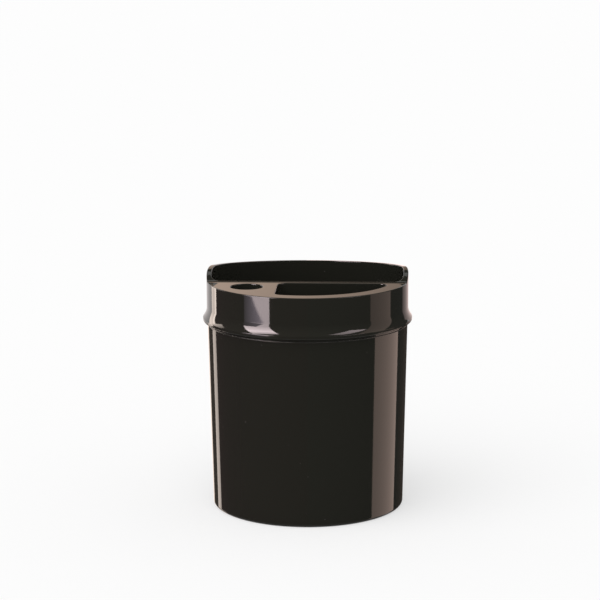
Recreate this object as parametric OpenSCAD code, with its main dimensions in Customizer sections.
// Round desk organizer: a tapered cup and a drop-in top with a pen hole, a clip tray and a rear opening.
// Millimetres. The origin is the centre of the base, +Z is up, and the front faces -Y.

/* [Cup] */
// Height of the cup, up to the rim that carries the top
cup_h = 90; // [60:1:140]
// Slope of the cup's side, in degrees from upright
cup_draft = 1.27; // [0:0.01:3]
// Thickness of the cup's side wall
cup_wall = 2.4; // [1.6:0.1:4]
// Thickness of the cup's floor
floor_t = 2.6; // [1.6:0.1:5]
// Height of the hollow under the floor
foot_recess = 3; // [1:0.1:6]
// Width of the foot ring around that hollow
foot_ring_w = 3.2; // [2.4:0.1:8]
// Rounding of the cup's lower outer edge
base_edge_r = 1.5; // [0.5:0.1:2.4]
// Rounding between floor and wall inside the cup
floor_fillet_r = 5; // [1:0.5:12]

/* [Collar and bead] */
// Outside diameter of the collar
collar_d = 93.7; // [80:0.1:120]
// Thickness of the collar and of the rear rim
collar_wall = 2.3; // [2:0.1:4]
// How far the line of the cup's side, carried up to its rim, stays inside the collar
cup_inset = 0.25; // [0:0.05:1]
// How far the skirt laps down over the cup
skirt_lap = 3.3; // [2.6:0.1:6]
// Thickness of the skirt
skirt_wall = 0.75; // [0.5:0.05:1]
// Gap between the skirt and the cup, all round
skirt_gap = 0.25; // [0.15:0.05:0.5]
// Height of the seam below the skirt
seam_gap = 0.2; // [0.1:0.05:0.5]
// How far the bead stands out from the collar
bead_out = 1.78; // [1.5:0.02:2.6]
// Distance from the cup's rim down to where the bead is full width
bead_drop = 0.75; // [0.4:0.05:1]
// Height of the bead's upright face
bead_face = 0.85; // [0.6:0.05:1.2]
// Rounding above that face
bead_r = 0.3; // [0.2:0.05:0.6]
// Rounding below that face
bead_edge_r = 0.65; // [0.3:0.05:0.9]
// Rounding of the hollow flare from the collar to the bead
flare_r = 7.8; // [3:0.1:10]

/* [Deck] */
// Height of the deck above the cup's rim
deck_rise = 16.4; // [14:0.1:30]
// Thickness of the deck and of the wall behind it
deck_t = 2.4; // [1.6:0.1:4]
// Distance of the deck's rear edge in front of the middle
deck_edge = 7.5; // [2:0.1:12]
// Rounding of the rear opening's two front corners
opening_corner_r = 4.5; // [1:0.1:6]

/* [Rear rim] */
// Height of the rear rim's crest above the deck
rim_rise = 4.8; // [3:0.1:12]
// Distance from the deck's rear edge forward to where the rim starts to rise
rim_foot = 2.9; // [0:0.1:4]
// Rounding at the foot of the rise
foot_curve_r = 8; // [2:0.5:12]
// Rounding of the crest
crest_r = 29.5; // [10:0.5:40]
// Slope of the rim down to the back, in degrees
rim_fall = 6; // [0:0.1:8]

/* [Pen hole] */
// Diameter of the pen hole
pen_hole_d = 14.7; // [8:0.1:15.2]
// Distance of the pen hole's middle in front of the deck's rear edge
pen_edge = 11.7; // [10:0.1:18]
// Width of the deck between the pen hole and the outside
pen_land = 6.45; // [3:0.05:12]
// Thickness of the sleeve around the pen hole
sleeve_wall = 2.4; // [1.2:0.1:3]
// Gap between that sleeve and the clip tray's wall
pen_gap = 2.15; // [0:0.05:2.6]

/* [Clip tray] */
// Depth of the clip tray
tray_depth = 14; // [6:0.5:14]
// Thickness of the tray's wall and floor
tray_wall = 2; // [1.2:0.1:2.4]
// Width of the deck between the tray and the outside
tray_land = 7.15; // [6:0.05:14]
// Rounding of the tray's corners
tray_corner_r = 4; // [2:0.5:6]

/* [Hidden] */
$fn = 160;
plastic = [0.10, 0.09, 0.09];
lap = 0.5;                // how far joined walls run into each other
over = 1;                 // how far a cutter reaches past what it cuts
beyond = collar_d * 0.7;  // from the middle to past the outside

// Cup
collar_r = collar_d / 2;
collar_in_r = collar_r - collar_wall;
base_r = collar_r - cup_inset - cup_h * tan(cup_draft);
floor_z = foot_recess + floor_t;

// Skirt, and the step in the cup's outside that makes room for it
skirt_z = cup_h - skirt_lap;
skirt_in_r = collar_r - skirt_wall;
rim_r = skirt_in_r - skirt_gap;
step_z = skirt_z - seam_gap;

// Bead, and the flare above it
bead_z = cup_h - bead_drop;
bead_x = collar_r + bead_out;
bead_c = bead_x - bead_r;
edge_c = [bead_x - bead_edge_r, bead_z - bead_face];
flare_c = collar_r + flare_r;
flare_z = bead_z + sqrt(pow(bead_r + flare_r, 2) - pow(flare_c - bead_c, 2));
flare_share = bead_r / (bead_r + flare_r);
flare_end = [bead_c + flare_share * (flare_c - bead_c), bead_z + flare_share * (flare_z - bead_z)];

// Deck and rear rim, the rim as a line in the YZ plane
deck_z = cup_h + deck_rise;
crest_z = deck_z + rim_rise;
foot_y = -deck_edge - rim_foot;
foot_c = [foot_y, deck_z + foot_curve_r];
curve_turn = acos(1 - rim_rise / (foot_curve_r + crest_r));
crest_c = [foot_y + (foot_curve_r + crest_r) * sin(curve_turn), crest_z - crest_r];
fall_start = crest_c + crest_r * [sin(rim_fall), cos(rim_fall)];
fall_end = [beyond, fall_start.y - (beyond - fall_start.x) * tan(rim_fall)];

// Pen hole, at its own distances from the deck's edge and from the outside
pen_r = pen_hole_d / 2;
pen_front = deck_edge + pen_edge;
pen_left = sqrt(pow(collar_r - pen_land - pen_r, 2) - pow(pen_front, 2));
pen_at = [-pen_left, -pen_front];

// Clip tray, from the pen hole's sleeve to the outside, and the depth of all that hangs from the deck
tray_left = pen_left - pen_r - sleeve_wall - pen_gap - tray_wall;
tray_r = collar_r - tray_land;
tray_back = deck_edge + deck_t;
tray_floor_z = deck_z - tray_depth;
wells_z = tray_floor_z - tray_wall;

// A round-cornered, drafted section from the middle out, with r0 its outer radius at z = 0
module drafted_half(bottom, r0, corner, top) {
    c = [r0 + (bottom + corner) * tan(cup_draft) - corner / cos(cup_draft), bottom + corner];
    polygon([
        [0, bottom],
        [c.x, bottom],
        c + corner * [cos(cup_draft), -sin(cup_draft)],
        [r0 + top * tan(cup_draft), top],
        [0, top]
    ]);
    translate(c) circle(corner);
}

module cup_section() {
    difference() {
        drafted_half(0, base_r, base_edge_r, cup_h);
        drafted_half(floor_z, base_r - cup_wall / cos(cup_draft), floor_fillet_r, cup_h + over);
        translate([-over, -over]) square([base_r - foot_ring_w + over, foot_recess + over]);
        translate([rim_r, step_z]) square([beyond, cup_h]);
    }
}

module cup() {
    color(plastic)
    rotate_extrude() cup_section();
}

// The bead with its skirt below, and the hollow flare that leads down to it from the collar
module bead_section() {
    difference() {
        polygon([
            [skirt_in_r, skirt_z],
            [collar_r, skirt_z],
            [collar_r, edge_c.y - bead_edge_r],
            edge_c - [0, bead_edge_r],
            edge_c + [bead_edge_r, 0],
            [bead_x, bead_z],
            flare_end,
            [flare_c, flare_z],
            [collar_r - lap, flare_z],
            [collar_r - lap, cup_h],
            [skirt_in_r, cup_h]
        ]);
        translate([flare_c, flare_z]) circle(flare_r);
    }
    translate([bead_c, bead_z]) circle(bead_r);
    translate(edge_c) circle(bead_edge_r);
}

module collar_ring() {
    rotate_extrude() {
        translate([collar_in_r, cup_h]) square([collar_wall, crest_z - cup_h + over]);
        bead_section();
    }
}

// Points along an arc, between two directions in degrees
function arc(centre, r, from, to, steps) =
    [for (i = [0:steps]) let (a = from + (to - from) * i / steps) centre + r * [cos(a), sin(a)]];

// Side view of everything under the top surface: flat deck, S-shaped rise, crest and the fall to the back
module side_view() {
    polygon(concat(
        [[-beyond, 0], [-beyond, deck_z]],
        arc(foot_c, foot_curve_r, -90, curve_turn - 90, 12),
        arc(crest_c, crest_r, 90 + curve_turn, 90 - rim_fall, 24),
        [fall_end, [beyond, 0]]
    ));
}

module under_top_surface() {
    rotate([90, 0, 90]) translate([0, 0, -beyond]) linear_extrude(beyond * 2) side_view();
}

function unit(v) = v / norm(v);

// The sharp corner that a rounding replaces: from the rounding's centre out, between two directions
module sharp_corner(centre, r, from, to) {
    reach = r * 3;
    polygon([centre, centre + reach * from, centre + reach * (from + to), centre + reach * to]);
}

// Plan of the rear opening: the inside of the collar behind the deck's edge, with rounded front corners
module opening_plan() {
    r = opening_corner_r;
    back = r - deck_edge;
    corner = [sqrt(pow(collar_in_r - r, 2) - pow(back, 2)), back];
    difference() {
        circle(collar_in_r);
        translate([-beyond, -beyond - deck_edge]) square([beyond * 2, beyond]);
        for (side = [0, 1]) mirror([side, 0]) sharp_corner(corner, r, [0, -1], unit(corner));
    }
    for (side = [0, 1]) mirror([side, 0]) translate(corner) circle(r);
}

// Plan of the clip tray, grown by the given amount: two straight sides and an arc that follows the outside
module tray_plan(grow) {
    arc_r = tray_r + grow;
    r = tray_corner_r + grow;
    left = -tray_left - grow;
    back = -tray_back + grow;
    back_left = [left + r, back - r];
    right = [sqrt(pow(arc_r - r, 2) - pow(back - r, 2)), back - r];
    front_left = [left + r, -sqrt(pow(arc_r - r, 2) - pow(left + r, 2))];
    difference() {
        circle(arc_r);
        translate([-beyond, back]) square([beyond * 2, beyond]);
        translate([left - beyond, -beyond]) square([beyond, beyond * 2]);
        sharp_corner(back_left, r, [-1, 0], [0, 1]);
        sharp_corner(right, r, [0, 1], unit(right));
        sharp_corner(front_left, r, [-1, 0], unit(front_left));
    }
    for (corner = [back_left, right, front_left]) translate(corner) circle(r);
}

// The deck and the low wall that hangs from its rear edge, with the rear opening left free
module deck_and_wall() {
    linear_extrude(crest_z) difference() {
        circle(collar_in_r + lap);
        opening_plan();
    }
}

module deck_slab() {
    intersection() {
        deck_and_wall();
        under_top_surface();
        union() {
            translate([-beyond, -beyond, deck_z - deck_t])
                cube([beyond * 2, beyond + opening_corner_r, crest_z]);
            translate([-beyond, -tray_back, wells_z])
                cube([beyond * 2, tray_back + opening_corner_r, crest_z]);
        }
    }
}

module pen_sleeve() {
    translate([pen_at.x, pen_at.y, wells_z])
        cylinder(r = pen_r + sleeve_wall, h = deck_z - wells_z - deck_t / 2);
}

module tray_basin() {
    translate([0, 0, wells_z]) linear_extrude(deck_z - wells_z - deck_t / 2) tray_plan(tray_wall);
}

module top_insert() {
    color(plastic)
    difference() {
        union() {
            intersection() {
                collar_ring();
                under_top_surface();
            }
            deck_slab();
            pen_sleeve();
            tray_basin();
        }
        translate([pen_at.x, pen_at.y, wells_z - over])
            cylinder(d = pen_hole_d, h = deck_z - wells_z + over * 2);
        translate([0, 0, tray_floor_z]) linear_extrude(tray_depth + over) tray_plan(0);
    }
}

cup();
top_insert();
